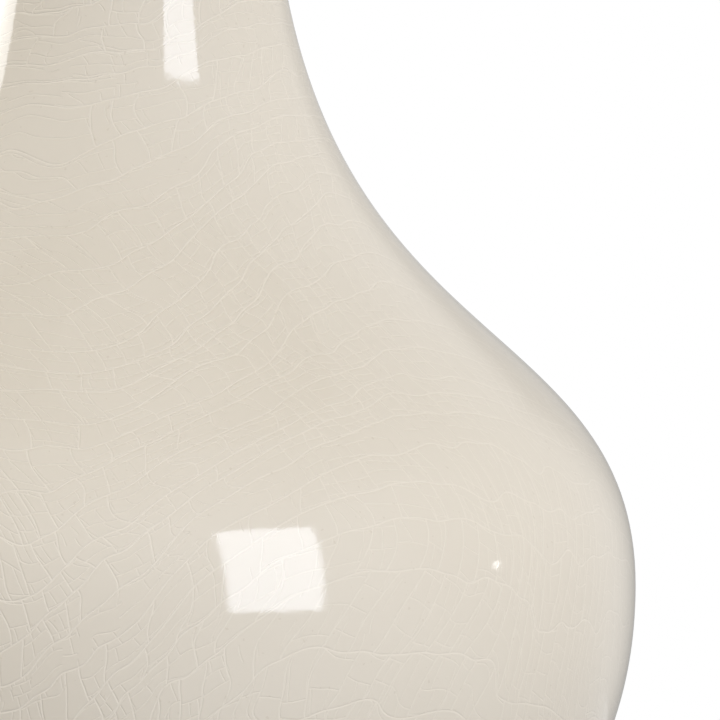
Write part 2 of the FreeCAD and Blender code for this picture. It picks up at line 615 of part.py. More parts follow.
def socket_screw_shell():
    """The thin metal shell that the bulb's cap screws into, on the insert's floor."""
    top = INSERT_TOP + SCREW_SHELL_HEIGHT
    tube = ring(SCREW_SHELL_RADIUS - SCREW_SHELL_WALL, SCREW_SHELL_RADIUS, INSERT_TOP, top)
    floor = ring(CONTACT_RADIUS + LOOSE_CLEARANCE, SCREW_SHELL_RADIUS, INSERT_TOP, INSERT_TOP + SCREW_SHELL_WALL)
    return tube.fuse(floor).removeSplitter()


def socket_contact():
    return Part.makeCylinder(CONTACT_RADIUS, CONTACT_THICKNESS, Vector(0, 0, INSERT_TOP))


# Rotary switch


def switch_shaft():
    start = Vector(0, SHAFT_DEPTH - INSERT_RADIUS, SWITCH_LEVEL)
    reach = SHAFT_DEPTH - INSERT_RADIUS + HOLDER_RADIUS + KNOB_STANDOFF + KNOB_SOCKET_DEPTH
    return Part.makeCylinder(SHAFT_RADIUS, reach, start, FRONT)


def switch_knob():
    """The turn knob: a slightly tapered barrel with a rounded tip, finger flutes and a hole for its shaft."""
    near = HOLDER_RADIUS + KNOB_STANDOFF
    barrel = Part.makeCone(KNOB_RADIUS, KNOB_TIP_RADIUS, KNOB_LENGTH, Vector(0, -near, SWITCH_LEVEL), FRONT)
    tip = [edge for edge in barrel.Edges if edge.BoundBox.YMax < KNOB_LENGTH / 2 - near - KNOB_LENGTH]
    barrel = barrel.makeFillet(KNOB_TIP_ROUNDING, tip)
    socket = Part.makeCylinder(SHAFT_RADIUS, KNOB_SOCKET_DEPTH, Vector(0, -near, SWITCH_LEVEL), FRONT)
    cuts = [socket]
    for n in range(KNOB_FLUTES):
        angle = 2 * math.pi * n / KNOB_FLUTES
        across = Vector(math.cos(angle), 0, math.sin(angle)) * KNOB_RADIUS
        start = Vector(0, -near - KNOB_COLLAR_LENGTH, SWITCH_LEVEL) + across
        cuts.append(Part.makeCylinder(KNOB_FLUTE_RADIUS, KNOB_LENGTH, start, FRONT))
    return barrel.cut(cuts)


# Bulb


def bulb_glass():
    """The pear-shaped envelope, an open thin wall whose neck stands in the cap."""
    bottom = BULB_BOTTOM + BULB_CAP_HEIGHT / 2
    top = BULB_BOTTOM + BULB_LENGTH
    widest = top - BULB_RADIUS
    neck_top = BULB_BOTTOM + BULB_CAP_HEIGHT
    hold = (widest - neck_top) / 2
    round_hold = QUARTER_CIRCLE_HOLD * BULB_RADIUS
    wall = BULB_GLASS_WALL
    outline = Outline(BULB_NECK_RADIUS, bottom).line(BULB_NECK_RADIUS, neck_top)
    outline.curve((BULB_NECK_RADIUS, neck_top + hold), (BULB_RADIUS, widest - hold), BULB_RADIUS, widest)
    outline.curve((BULB_RADIUS, widest + round_hold), (round_hold, top), 0, top)
    outline.line(0, top - wall)
    outline.curve((round_hold, top - wall), (BULB_RADIUS - wall, widest + round_hold - wall),
                  BULB_RADIUS - wall, widest)
    outline.curve((BULB_RADIUS - wall, widest - hold), (BULB_NECK_RADIUS - wall, neck_top + hold),
                  BULB_NECK_RADIUS - wall, neck_top)
    return outline.line(BULB_NECK_RADIUS - wall, bottom).turned()


def bulb_cap():
    """The threaded cap's can, from the insulator up to the glass."""
    bottom = BULB_BOTTOM + BULB_TIP_THICKNESS + BULB_INSULATOR_HEIGHT
    top = BULB_BOTTOM + BULB_CAP_HEIGHT
    wall = ring(BULB_CAP_RADIUS - BULB_CAP_WALL, BULB_CAP_RADIUS, bottom, top)
    floor = ring(BULB_TIP_RADIUS, BULB_CAP_RADIUS, bottom, bottom + BULB_CAP_WALL)
    return wall.fuse(floor).removeSplitter()


def bulb_insulator():
    """The black glass cone between the cap and its tip."""
    bottom = BULB_BOTTOM + BULB_TIP_THICKNESS
    return Part.makeCone(BULB_TIP_RADIUS, BULB_CAP_RADIUS - BULB_CAP_WALL, BULB_INSULATOR_HEIGHT,
                         Vector(0, 0, bottom))


def bulb_tip():
    """The solder contact under the insulator, a shallow dome."""
    top = BULB_BOTTOM + BULB_TIP_THICKNESS
    half = BULB_TIP_RADIUS / 2
    outline = Outline(0, BULB_BOTTOM).line(half, BULB_BOTTOM)
    outline.arc(BULB_TIP_RADIUS, top, -BULB_TIP_BOW)
    return outline.line(0, top).turned()


# Harp


def harp_bow():
    """The wire bow: legs flattened against the tongues, a flare, long sides and a rounded crown."""
    flare_top = HARP_FOOT + HARP_LEG + HARP_FLARE_RISE
    side_top = flare_top + HARP_SIDE
    right = [Vector(HARP_LEG_X, 0, HARP_FOOT), Vector(HARP_LEG_X, 0, HARP_FOOT + HARP_LEG),
             Vector(HARP_HALF_WIDTH, 0, flare_top), Vector(HARP_HALF_WIDTH, 0, side_top),
             Vector(HARP_TOP_HALF_WIDTH, 0, HARP_TOP)]
    left = [Vector(-point.x, 0, point.z) for point in reversed(right)]
    radii = [HARP_BEND_RADIUS, HARP_BEND_RADIUS, HARP_TOP_BEND_RADIUS, HARP_CROWN_BEND_RADIUS]
    path = rounded_path(right + left, radii + radii[::-1])
    between_tongues = Part.makeBox(2 * SADDLE_HALF_SPAN, 2 * HARP_WIRE_RADIUS, TONGUE_TOP - HARP_FOOT,
                                   Vector(-SADDLE_HALF_SPAN, -HARP_WIRE_RADIUS, HARP_FOOT))
    return wire_rod(path, HARP_WIRE_RADIUS).cut(between_tongues)


def harp_seat():
    """The stud on the crown: a flanged seat for the shade, grooved below to sit on the wire."""
    skirt = HARP_TOP - HARP_WIRE_RADIUS / 2
    seat = Part.makeCylinder(HARP_SEAT_RADIUS, SEAT_TOP - HARP_TOP - HARP_WIRE_RADIUS,
                             Vector(0, 0, HARP_TOP + HARP_WIRE_RADIUS))
    grip = Part.makeCylinder(HARP_GRIP_RADIUS, SEAT_TOP - skirt, Vector(0, 0, skirt))
    stud = Part.makeCylinder(HARP_STUD_RADIUS, HARP_STUD_HEIGHT, Vector(0, 0, SEAT_TOP))
    return seat.fuse([grip, stud]).removeSplitter().cut(harp_bow())


def harp_ferrule(side):
    """The sleeve that drops over a tongue and a harp leg and rests on the saddle's shoulder."""
    centre = Vector(side * FERRULE_X, 0, TONGUE_SHOULDER)
    tube = Part.makeCylinder(FERRULE_BORE + FERRULE_WALL, FERRULE_LENGTH, centre)
    rims = [edge for edge in tube.Edges if isinstance(edge.Curve, Part.Circle)]
    tube = tube.makeChamfer(FERRULE_CHAMFER, rims)
    return tube.cut(Part.makeCylinder(FERRULE_BORE, FERRULE_LENGTH, centre))


# Shade


def shade_slope():
    """How much wider the shade gets for each millimetre down."""
    return (SHADE_BOTTOM_RADIUS - SHADE_TOP_RADIUS) / SHADE_HEIGHT


def shade_radius(height):
    """The outside radius of the linen at a height above the table."""
    return SHADE_TOP_RADIUS + (SHADE_TOP - height) * shade_slope()


def cone_band(bottom, top, outset, thickness):
    """A band of the shade's cone between two heights, its outside set out from the linen's face."""
    outline = Outline(shade_radius(bottom) + outset - thickness, bottom)
    outline.line(shade_radius(bottom) + outset, bottom).line(shade_radius(top) + outset, top)
    return outline.line(shade_radius(top) + outset - thickness, top).turned()


def shade_linen():
    return cone_band(SHADE_BOTTOM, SHADE_TOP, 0, LINEN_THICKNESS)


def shade_liner():
    return cone_band(SHADE_BOTTOM, SHADE_TOP, -LINEN_THICKNESS, LINER_THICKNESS)


def ring_radius(height):
    """The radius of a wire ring's centre line where it bears on the liner."""
    slant = math.hypot(1, shade_slope())
    return shade_radius(height) - LINEN_THICKNESS - LINER_THICKNESS - (RING_WIRE_RADIUS + SLIP_CLEARANCE) * slant


def shade_trim(edge, inward):
    """The linen tape folded over an edge of the shade and round its wire ring; inward is up or down, 1 or -1."""
    outer_reach = edge + inward * TRIM_WIDTH
    inner_reach = edge + inward * TRIM_FOLD
    crease = edge - inward * TRIM_THICKNESS
    ring_level = edge + inward * RING_WIRE_RADIUS
    ring_inside = shade_radius(ring_level) - ring_radius(ring_level) + RING_WIRE_RADIUS + SLIP_CLEARANCE

    def face(offset, height):
        return shade_radius(height) - offset, height

    outline = Outline(*face(-TRIM_THICKNESS, crease)).line(*face(-TRIM_THICKNESS, outer_reach))
    outline.line(*face(0, outer_reach)).line(*face(0, edge)).line(*face(ring_inside, edge))
    outline.line(*face(ring_inside, inner_reach)).line(*face(ring_inside + TRIM_THICKNESS, inner_reach))
    return outline.line(*face(ring_inside + TRIM_THICKNESS, crease)).turned()


def shade_trim_top():
    return shade_trim(SHADE_TOP, -1).cut(shade_spider())


def shade_trim_bottom():
    return shade_trim(SHADE_BOTTOM, 1)


def shade_bottom_ring():
    level = SHADE_BOTTOM + RING_WIRE_RADIUS
    return Part.makeTorus(ring_radius(level), RING_WIRE_RADIUS, Vector(0, 0, level))


def shade_spider():
    """The welded top fitter: a hub with a hole for the stud, arms that rise outwards, and the top ring."""
    level = SHADE_TOP - RING_WIRE_RADIUS
    radius = ring_radius(level)
    hub_middle = SEAT_TOP + SPIDER_HUB_THICKNESS / 2
    hub = Part.makeCylinder(SPIDER_HUB_RADIUS, SPIDER_HUB_THICKNESS, Vector(0, 0, SEAT_TOP))
    top_ring = Part.makeTorus(radius, RING_WIRE_RADIUS, Vector(0, 0, level))
    arm_start = SPIDER_HUB_RADIUS - SPIDER_ARM_RADIUS
    path = rounded_path([Vector(0, arm_start, hub_middle), Vector(0, radius - SPIDER_RISE_WIDTH, hub_middle),
                         Vector(0, radius, level)], [SPIDER_BEND_RADIUS])
    arms = repeated(wire_rod(path, SPIDER_ARM_RADIUS), SPIDER_ARMS)
    hole = Part.makeCylinder(HARP_STUD_RADIUS + LOOSE_CLEARANCE, SHADE_DROP, Vector(0, 0, SEAT_TOP))
    below_seat = Part.makeCylinder(SPIDER_HUB_RADIUS + SPIDER_ARM_RADIUS, SPIDER_ARM_RADIUS,
                                   Vector(0, 0, SEAT_TOP - SPIDER_ARM_RADIUS))
    return hub.fuse(arms + [top_ring]).cut([hole, below_seat]).removeSplitter()


# Finial


def finial():
    """The turned ball finial, with a blind hole for the stud."""
    bottom = SEAT_TOP + SPIDER_HUB_THICKNESS
    foot_top = bottom + FINIAL_FOOT_HEIGHT
    neck_top = foot_top + FINIAL_NECK_HEIGHT
    collar_top = neck_top + FINIAL_COLLAR_HEIGHT
    ball_contact = math.sqrt(FINIAL_BALL_RADIUS ** 2 - FINIAL_NECK_RADIUS ** 2)
    ball_middle = collar_top + ball_contact
    tip_contact = math.sqrt(FINIAL_BALL_RADIUS ** 2 - FINIAL_TIP_RADIUS ** 2)
    tip_foot = ball_middle + tip_contact
    collar_bow = FINIAL_COLLAR_BOW
    outline = Outline(0, bottom).line(FINIAL_FOOT_RADIUS, bottom)
    outline.curve((FINIAL_FOOT_RADIUS, foot_top), (FINIAL_NECK_RADIUS, foot_top), FINIAL_NECK_RADIUS, neck_top)
    outline.line(FINIAL_COLLAR_RADIUS - collar_bow, neck_top)
    outline.arc(FINIAL_COLLAR_RADIUS - collar_bow, collar_top, -collar_bow)
    outline.line(FINIAL_NECK_RADIUS, collar_top)
    outline.edges.append(Part.Arc(outline.at, Vector(FINIAL_BALL_RADIUS, 0, ball_middle),
                                  Vector(FINIAL_TIP_RADIUS, 0, tip_foot)).toShape())
    outline.at = Vector(FINIAL_TIP_RADIUS, 0, tip_foot)
    outline.curve((FINIAL_TIP_RADIUS, tip_foot + FINIAL_TIP_HEIGHT), (FINIAL_TIP_RADIUS / 2, tip_foot + FINIAL_TIP_HEIGHT),
                  0, tip_foot + FINIAL_TIP_HEIGHT)
    hole_depth = HARP_STUD_HEIGHT - SPIDER_HUB_THICKNESS + FINIAL_HOLE_SPARE
    hole = Part.makeCylinder(HARP_STUD_RADIUS + RUNNING_CLEARANCE, hole_depth, Vector(0, 0, bottom))
    return outline.turned().cut(hole)


PIECES = {
    "base_felt": base_felt,
    "base_plinth": base_plinth,
    "base_weight": base_weight,
    "cord_bushing": cord_bushing,
    "foot_gasket": foot_gasket,
    "gourd_body": gourd_body,
    "lamp_rod": lamp_rod,
    "rod_washer": rod_washer,
    "rod_nut": rod_nut,
    "neck_gasket": neck_gasket,
    "vase_cap": vase_cap,
    "neck_column": neck_column,
    "harp_saddle": harp_saddle,
    "saddle_nut": saddle_nut,
    "socket_cap": socket_cap,
    "socket_shell": socket_shell,
    "socket_insulator": socket_insulator,
    "socket_body": socket_body,
    "terminal_screws": terminal_screws,
    "socket_screw_shell": socket_screw_shell,
    "socket_contact": socket_contact,
    "switch_shaft": switch_shaft,
    "switch_knob": switch_knob,
    "bulb_glass": bulb_glass,
    "bulb_cap": bulb_cap,
    "bulb_insulator": bulb_insulator,
    "bulb_tip": bulb_tip,
    "harp_bow": harp_bow,
    "harp_seat": harp_seat,
    "harp_ferrule_left": lambda: harp_ferrule(-1),
    "harp_ferrule_right": lambda: harp_ferrule(1),
    "shade_spider": shade_spider,
    "shade_bottom_ring": shade_bottom_ring,
    "shade_liner": shade_liner,
    "shade_linen": shade_linen,
    "shade_trim_top": shade_trim_top,
    "shade_trim_bottom": shade_trim_bottom,
    "finial": finial,
}


def build():
    os.makedirs("parts", exist_ok=True)
    for name, make in PIECES.items():
        shape = make()
        solids = shape.Solids
        print(f"{name}: {len(solids)} solid(s), {shape.Volume / 1000:.2f} cm3, valid {shape.isValid()}")
        shape = solids[0] if len(solids) == 1 else Part.makeCompound(solids)
        shape.exportStep(os.path.join("parts", name + ".step"))


build()
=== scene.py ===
import math

import bpy
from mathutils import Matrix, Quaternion, Vector

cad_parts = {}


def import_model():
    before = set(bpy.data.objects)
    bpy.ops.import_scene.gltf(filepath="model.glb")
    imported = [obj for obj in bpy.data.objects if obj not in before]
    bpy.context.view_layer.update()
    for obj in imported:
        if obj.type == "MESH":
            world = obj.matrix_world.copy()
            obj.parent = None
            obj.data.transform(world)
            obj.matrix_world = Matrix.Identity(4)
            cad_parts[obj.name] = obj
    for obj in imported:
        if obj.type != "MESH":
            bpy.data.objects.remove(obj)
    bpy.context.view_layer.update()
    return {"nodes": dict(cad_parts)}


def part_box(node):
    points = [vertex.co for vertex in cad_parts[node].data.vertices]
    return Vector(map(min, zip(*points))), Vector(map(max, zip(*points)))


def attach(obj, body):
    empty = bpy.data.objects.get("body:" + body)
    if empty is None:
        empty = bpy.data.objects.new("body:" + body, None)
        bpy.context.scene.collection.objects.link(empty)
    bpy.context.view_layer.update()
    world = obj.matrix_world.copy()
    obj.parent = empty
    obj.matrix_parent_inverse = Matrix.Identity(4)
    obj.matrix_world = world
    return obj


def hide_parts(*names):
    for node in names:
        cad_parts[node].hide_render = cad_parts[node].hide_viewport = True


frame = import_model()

# The gourd's profile, in metres
GOURD_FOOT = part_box("gourd_body")[0].z
GOURD_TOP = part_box("gourd_body")[1].z
FOOT_RADIUS = 0.062
FOOT_RING_HEIGHT = 0.003
FOOT_LIP = 0.002
FOOT_FLARE = (0.032, 0.017)
BELLY_RADIUS = 0.134
BELLY_LEVEL = GOURD_FOOT + 0.108
BELLY_HOLD_BELOW = 0.058
BELLY_HOLD_ABOVE = 0.0795
WAIST_RADIUS = 0.0355
WAIST_LEVEL = BELLY_LEVEL + 0.2095
WAIST_HOLD_BELOW = 0.1513
WAIST_HOLD_ABOVE = 0.042
CROWN_RADIUS = 0.076
CROWN_LEVEL = WAIST_LEVEL + 0.086
CROWN_HOLD_BELOW = 0.041
CROWN_HOLD_ABOVE = 0.034
NECK_RADIUS = 0.022
NECK_COLLAR = 0.0053
NECK_HOLD = 0.024
NECK_SHOULDER = 0.005
NECK_OPENING = 0.011
FOOT_OPENING = 0.040
FOOT_FLOOR = 0.008
BODY_WALL = 0.006
GLAZE_LINE = (0.0021, 0.0032)
CRACK_DEPTH = 0.00015
CRACK_STAIN = 0.6
CRACK_FADE = (0.0, 0.09)
SKIN_DEPTH = 0.000013
OUTER_ROWS = 66
INNER_ROWS = 16
ROUND_STEPS = 256

# The shade's cone, its cloth, and the tape folded over its edges and wire rings
SHADE_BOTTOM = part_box("shade_linen")[0].z
SHADE_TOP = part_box("shade_linen")[1].z
SHADE_BOTTOM_RADIUS = 0.210
SHADE_TOP_RADIUS = 0.180
LINEN_THICKNESS = 0.0008
LINER_THICKNESS = 0.0008
SEAM_WIDTH = 0.011
SEAM_STEP = 0.0004
SEAM_RISE = 0.0005
TAPE_THICKNESS = 0.0007
TAPE_WIDTH = 0.012
TAPE_FOLD = 0.007
TAPE_ROUNDING = 0.0012
TAPE_ROUNDING_STEPS = 4
SHADE_ROWS = 28
RING_WIRE = 0.0016
RING_GAP = 0.0001
WARP_THREADS = 2100
WEFT_PITCH = 0.0006

# The photograph's frame: the lamp's axis and belly in its pixels
PHOTO_SIZE = 720
AXIS_COLUMN = 140
BELLY_ROW = 586
BELLY_PIXELS = 496
CAMERA_DISTANCE = 2.5
CAMERA_ELEVATION = 4.5
CAMERA_SENSOR = 36.0
CAMERA_REACH = (0.1, 100.0)

# Lights and cards: azimuth from the camera's side towards the right, elevation and roll in degrees,
# the rest in metres, and the glow of a light
AIM_LEVEL = BELLY_LEVEL + 0.04
KEY = {"azimuth": 32.0, "elevation": 17.3, "roll": -1.9, "distance": 1.9,
       "width": 0.75, "height": 1.13, "glow": 6.0}
KEY_TINT = (0.95, 1.0, 1.12)
RIM = {"azimuth": -122.2, "elevation": 16.9, "roll": 0.0, "distance": 1.4,
       "width": 0.64, "height": 0.42, "glow": 4.0}
SPARK = {"azimuth": 89.3, "elevation": 7.2, "roll": 0.0, "distance": 1.6,
         "width": 0.05, "height": 0.05, "glow": 9.0}
LEFT_FILL = {"azimuth": -84.0, "elevation": 38.0, "roll": 0.0, "distance": 2.2,
             "width": 1.3, "height": 1.1, "glow": 2.6}
RIGHT_FILL = {"azimuth": 60.0, "elevation": 6.0, "roll": 0.0, "distance": 2.2,
              "width": 1.6, "height": 0.7, "glow": 0.3}
BACK_FILL = {"azimuth": 115.0, "elevation": 12.0, "roll": 0.0, "distance": 2.4,
             "width": 1.6, "height": 1.2, "glow": 1.2}
BACK_LOW = {"azimuth": -163.0, "elevation": 2.0, "roll": 0.0, "distance": 1.5,
            "width": 1.3, "height": 0.36, "glow": 3.6}
AMBIENT = 0.575
CARD = {"azimuth": 166.0, "elevation": 0.0, "distance": 0.46, "across": (-0.36, 0.08), "up": (-0.216, 0.28)}
CARD_SIDE_FADES = ((-0.09, -0.36, 1.0), (-0.07, 0.02, 0.35))
CARD_TOP_FADES = ((-0.06, 0.1, 0.3), (0.1, 0.28, 1.0))
CEILING_HEIGHT = 1.9
CEILING_FADE = (0.75, 2.6)
FLOOR_RADIUS = 12.0
FLOOR_STEPS = 96
FLOOR_LAP = 0.001
FLOOR_FADE = (0.25, 0.9)


def rgb(red, green, blue):
    return (red, green, blue, 1.0)


class Shader:
    """The node tree of a material or of the world, with short calls for the nodes that it is made of."""

    def __init__(self, owner):
        owner.use_nodes = True
        self.owner = owner
        self.tree = owner.node_tree
        self.tree.nodes.clear()

    def add(self, kind, inputs=None, **settings):
        node = self.tree.nodes.new("ShaderNode" + kind)
        for name, value in settings.items():
            setattr(node, name, value)
        for key, value in (inputs or {}).items():
            if isinstance(value, bpy.types.NodeSocket):
                self.tree.links.new(value, node.inputs[key])
            else:
                node.inputs[key].default_value = value
        return node

    def math(self, operation, *values):
        return self.add("Math", dict(enumerate(values)), operation=operation).outputs[0]

    def vector(self, operation, *values):
        node = self.add("VectorMath", operation=operation)
        for socket, value in zip((s for s in node.inputs if s.enabled), values):
            if isinstance(value, bpy.types.NodeSocket):
                self.tree.links.new(value, socket)
            else:
                socket.default_value = value
        return next(s for s in node.outputs if s.enabled)

    def place(self):
        return self.add("TexCoord").outputs["Object"]

    def axes(self):
        return self.add("SeparateXYZ", {0: self.place()}).outputs

    def stretched(self, x, y, z):
        """The place, with each axis scaled on its own."""
        return self.vector("MULTIPLY", self.place(), (x, y, z))

    def noise(self, scale, detail=2.0, vector=None, output="Fac"):
        inputs = {"Vector": vector or self.place(), "Scale": scale, "Detail": detail}
        return self.add("TexNoise", inputs).outputs[output]

    def noise_along(self, distance, scale, detail=2.0):
        inputs = {"W": distance, "Scale": scale, "Detail": detail}
        return self.add("TexNoise", inputs, noise_dimensions="1D").outputs["Fac"]

    def ramp(self, factor, low, high, first=0.0, last=1.0):
        """Goes smoothly from the first value at low to the last at high."""
        inputs = {"Value": factor, "From Min": low, "From Max": high, "To Min": first, "To Max": last}
        return self.add("MapRange", inputs, interpolation_type="SMOOTHSTEP").outputs[0]

    def mix(self, factor, first, second):
        return self.add("Mix", {0: factor, 6: first, 7: second}, data_type="RGBA").outputs[2]

    def bump(self, height, depth):
        return self.add("Bump", {"Height": height, "Distance": depth, "Strength": 1.0}).outputs["Normal"]

    def seen(self):
        """1 for what is seen straight, in mirrors or through glass, and 0 for light that only bounces."""
        path = self.add("LightPath").outputs
        mirrored = self.math("MAXIMUM", path["Is Camera Ray"], path["Is Glossy Ray"])
        return self.math("MAXIMUM", mirrored, path["Is Transmission Ray"])

    def principled(self, **inputs):
        named = {key.replace("_", " "): value for key, value in inputs.items()}
        return self.add("BsdfPrincipled", named).outputs[0]

    def blend(self, factor, first, second):
        return self.add("MixShader", {0: factor, 1: first, 2: second}).outputs[0]

    def output(self, surface, kind="OutputMaterial"):
        self.add(kind, {"Surface": surface})
        return self.owner


def material(name):
    return Shader(bpy.data.materials.new(name))


# Crackle glaze


def crack_levels():
    """Each crack generation: its direction in the warped body, spacing, half width, depth, share left out."""
    return (
        ((-0.36, 0.40, 0.84), 0.0086, 0.00046, 1.0, 0.0),
        ((0.80, 0.58, 0.05), 0.0058, 0.00042, 0.85, 0.05),
        ((-0.20, 0.50, 0.84), 0.0041, 0.00036, 0.72, 0.2),
        ((0.72, 0.62, 0.22), 0.0032, 0.00032, 0.62, 0.35),
    )


def swirled(shader, point):
    """A point carried off by slow swirls and a little ripple, so that straight steps become curved cracks."""
    for scale, detail, reach in ((9.0, 0.0, 0.08), (48.0, 1.0, 0.012)):
        swirl = shader.noise(scale, detail, point, "Color")
        swirl = shader.vector("SUBTRACT", swirl, (0.5, 0.5, 0.5))
        point = shader.vector("ADD", point, shader.vector("MULTIPLY", swirl, (reach, reach, reach)))
    return point


def crack_network(shader):
    """The height of the glaze's crack lines, 0 between them and 1 in the deepest.

    Each generation runs where a warped coordinate crosses irregular steps, and its steps start anew in every
    strip of the generations before it, so a younger crack ends on an older one. A crack keeps its width
    because its distance is divided by the coordinate's slope along the surface, given by two nearby points.
    """
    nearby = 0.0004
    least_slope = 5.0
    restart = 97.0
    place = shader.place()
    normal = shader.add("NewGeometry").outputs["Normal"]
    across = shader.vector("NORMALIZE", shader.vector("CROSS_PRODUCT", (0.0, 0.0, 1.0), normal))
    along = shader.vector("CROSS_PRODUCT", normal, across)
    warped = [swirled(shader, place)]
    for direction in (across, along):
        beside = shader.vector("ADD", place, shader.vector("MULTIPLY", direction, (nearby, nearby, nearby)))
        warped.append(swirled(shader, beside))
    height = None
    start = 0.0
    for direction, spacing, width, depth, missing in crack_levels():
        counted = [shader.vector("DOT_PRODUCT", point, [x / spacing for x in direction]) for point in warped]
        rises = [shader.math("SUBTRACT", other, counted[0]) for other in counted[1:]]
        squares = [shader.math("MULTIPLY", rise, rise) for rise in rises]
        slope = shader.math("DIVIDE", shader.math("SQRT", shader.math("ADD", *squares)), nearby)
        slope = shader.math("MAXIMUM", slope, least_slope)
        inputs = {"W": shader.math("ADD", counted[0], start), "Scale": 1.0, "Randomness": 0.85}
        edge = shader.add("TexVoronoi", inputs, voronoi_dimensions="1D", feature="DISTANCE_TO_EDGE")
        cell = shader.add("TexVoronoi", inputs, voronoi_dimensions="1D", feature="F1")
        distance = shader.math("DIVIDE", edge.outputs["Distance"], slope)
        line = shader.ramp(distance, 0.0, width, depth, 0.0)
        if missing:
            chance = shader.add("TexWhiteNoise", {"W": start}, noise_dimensions="1D").outputs["Value"]
            line = shader.math("MULTIPLY", line, shader.math("GREATER_THAN", chance, missing))
        height = line if height is None else shader.math("MAXIMUM", height, line)
        strip = shader.add("SeparateColor", {0: cell.outputs["Color"]}).outputs[0]
        start = shader.math("MULTIPLY_ADD", strip, restart, start)
    return height


def glaze():
    shader = material("crackle_glaze")
    x, _, height = shader.axes()
    cracks = shader.math("MULTIPLY", crack_network(shader), shader.ramp(x, *CRACK_FADE, 1.0, 0.6))
    cloud = shader.ramp(shader.noise(9.0, 3.0), 0.3, 0.7)
    tone = shader.mix(cloud, rgb(0.742, 0.664, 0.541), rgb(0.764, 0.688, 0.567))
    colour = shader.mix(shader.math("MULTIPLY", cracks, CRACK_STAIN), tone, rgb(0.905, 0.819, 0.683))
    specks = shader.ramp(shader.noise(900.0, 0.0), 0.80, 0.86, 0.0, 0.25)
    colour = shader.mix(specks, colour, rgb(0.55, 0.46, 0.34))
    glazed = shader.ramp(height, *(GOURD_FOOT + rise for rise in GLAZE_LINE))
    grit = shader.ramp(shader.noise(1400.0, 1.0), 0.35, 0.65)
    clay = shader.mix(grit, rgb(0.50, 0.42, 0.32), rgb(0.62, 0.54, 0.43))
    colour = shader.mix(glazed, clay, colour)
    body = shader.bump(shader.math("MULTIPLY", cracks, -1.0), CRACK_DEPTH)
    skin = shader.bump(shader.noise(900.0, 4.0), SKIN_DEPTH)
    return shader.output(shader.principled(
        Base_Color=colour, Roughness=0.6, Specular_IOR_Level=0.0, Normal=body, Coat_Weight=glazed,
        Coat_Roughness=0.05, Coat_IOR=1.5, Coat_Normal=skin))


# Metals


def turned_metal(name, bright, worn, roughness):
    """Metal spun or turned about the lamp's axis: fine rings, a brown bloom of age, and handled patches."""
    shader = material(name)
    place = shader.place()
    reach = shader.vector("LENGTH", shader.vector("MULTIPLY", place, (1.0, 1.0, 0.0)))
    run = shader.math("ADD", shader.math("MULTIPLY", reach, 0.8), shader.axes()[2])
    rings = shader.noise_along(run, 5200.0)
    bloom = shader.ramp(shader.noise(38.0, 5.0), 0.42, 0.72, 0.0, 0.75)
    specks = shader.ramp(shader.noise(620.0, 1.0), 0.68, 0.76, 0.0, 0.6)
    colour = shader.mix(shader.math("MAXIMUM", bloom, specks), bright, worn)
    colour = shader.mix(shader.ramp(rings, 0.3, 0.7, 0.0, 0.18), colour, worn)
    dull = shader.ramp(shader.noise(24.0, 3.0), 0.35, 0.7, roughness - 0.06, roughness + 0.1)
    relief = shader.bump(rings, 0.000004)
    return shader.output(shader.principled(Base_Color=colour, Metallic=1.0, Roughness=dull, Normal=relief))


def drawn_metal(name, bright, worn, roughness):
    """Bright drawn or pressed metal with fine scratches and a faint tarnish."""
    shader = material(name)
    scratches = shader.noise(1.0, 2.0, shader.stretched(2600.0, 2600.0, 260.0))
    tarnish = shader.ramp(shader.noise(55.0, 4.0), 0.45, 0.75, 0.0, 0.6)
    colour = shader.mix(tarnish, bright, worn)
    dull = shader.ramp(scratches, 0.3, 0.7, roughness - 0.05, roughness + 0.08)
    relief = shader.bump(scratches, 0.000004)
    return shader.output(shader.principled(Base_Color=colour, Metallic=1.0, Roughness=dull, Normal=relief))


def rolled_metal():
    """Thin bright metal with a rolled screw thread round the lamp's axis."""
    shader = material("rolled_aluminium")
    x, y, z = shader.axes()
    pitch = 0.0036
    turn = shader.math("ADD", shader.math("MULTIPLY", z, 2 * math.pi / pitch), shader.math("ARCTAN2", y, x))
    thread = shader.math("SINE", turn)
    film = shader.ramp(shader.noise(180.0, 3.0), 0.4, 0.7)
    colour = shader.mix(film, rgb(0.74, 0.74, 0.75), rgb(0.60, 0.60, 0.60))
    return shader.output(shader.principled(
        Base_Color=colour, Metallic=1.0, Roughness=shader.ramp(film, 0.0, 1.0, 0.26, 0.4),
        Normal=shader.bump(thread, 0.0004)))


def cast_iron():
    shader = material("cast_iron")
    sand = shader.noise(700.0, 3.0)
    rust = shader.ramp(shader.noise(45.0, 4.0), 0.55, 0.75, 0.0, 0.5)
    colour = shader.mix(shader.ramp(sand, 0.3, 0.7), rgb(0.030, 0.030, 0.032), rgb(0.07, 0.07, 0.07))
    colour = shader.mix(rust, colour, rgb(0.12, 0.05, 0.025))
    relief = shader.bump(sand, 0.0003)
    return shader.output(shader.principled(Base_Color=colour, Roughness=0.75, Normal=relief))


# Cloth, fibre and film


